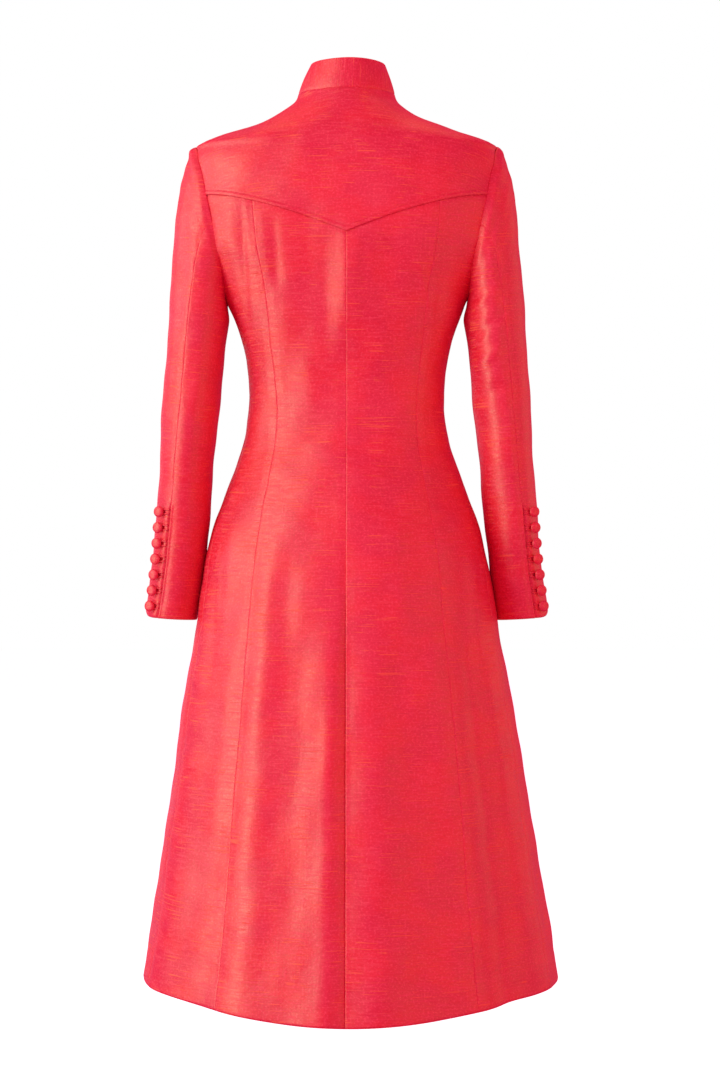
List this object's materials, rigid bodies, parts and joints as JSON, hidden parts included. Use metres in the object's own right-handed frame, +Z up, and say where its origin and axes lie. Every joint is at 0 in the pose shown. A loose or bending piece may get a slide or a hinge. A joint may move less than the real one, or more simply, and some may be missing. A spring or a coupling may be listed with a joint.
{
  "type": "silk coat",
  "caption": "Fitted, flared silk coat, filled out as worn and empty inside, with a stand collar, pointed back yoke, shaped back seams and long sleeves with looped covered buttons.",
  "frame": {"origin": "middle of the neck opening, level with the collar seam at the back, where the wearer's neck holds the coat", "axes": "+Z up along the wearer, +Y towards the wearer's front, +X towards the wearer's right"},
  "size_m": [0.5465, 0.4567, 1.2221],
  "materials": {
    "silk": "slubbed silk with a soft sheen",
    "covered_button": "silk drawn tight over a domed button",
    "button_loop": "thin rolled silk loop"
  },
  "bodies": {
    "root": {"collar": "silk", "yoke": "silk", "centre_back_left": "silk", "centre_back_right": "silk", "side_back_left": "silk", "side_back_right": "silk", "front_left": "silk", "front_right": "silk", "top_sleeve_left": "silk", "top_sleeve_right": "silk", "under_sleeve_left": "silk", "under_sleeve_right": "silk", "button_left_1": "covered_button", "button_left_2": "covered_button", "button_left_3": "covered_button", "button_left_4": "covered_button", "button_left_5": "covered_button", "button_left_6": "covered_button", "button_left_7": "covered_button", "button_right_1": "covered_button", "button_right_2": "covered_button", "button_right_3": "covered_button", "button_right_4": "covered_button", "button_right_5": "covered_button", "button_right_6": "covered_button", "button_right_7": "covered_button", "loop_left_1": "button_loop", "loop_left_2": "button_loop", "loop_left_3": "button_loop", "loop_left_4": "button_loop", "loop_left_5": "button_loop", "loop_left_6": "button_loop", "loop_left_7": "button_loop", "loop_right_1": "button_loop", "loop_right_2": "button_loop", "loop_right_3": "button_loop", "loop_right_4": "button_loop", "loop_right_5": "button_loop", "loop_right_6": "button_loop", "loop_right_7": "button_loop"}
  },
  "joints": []
}
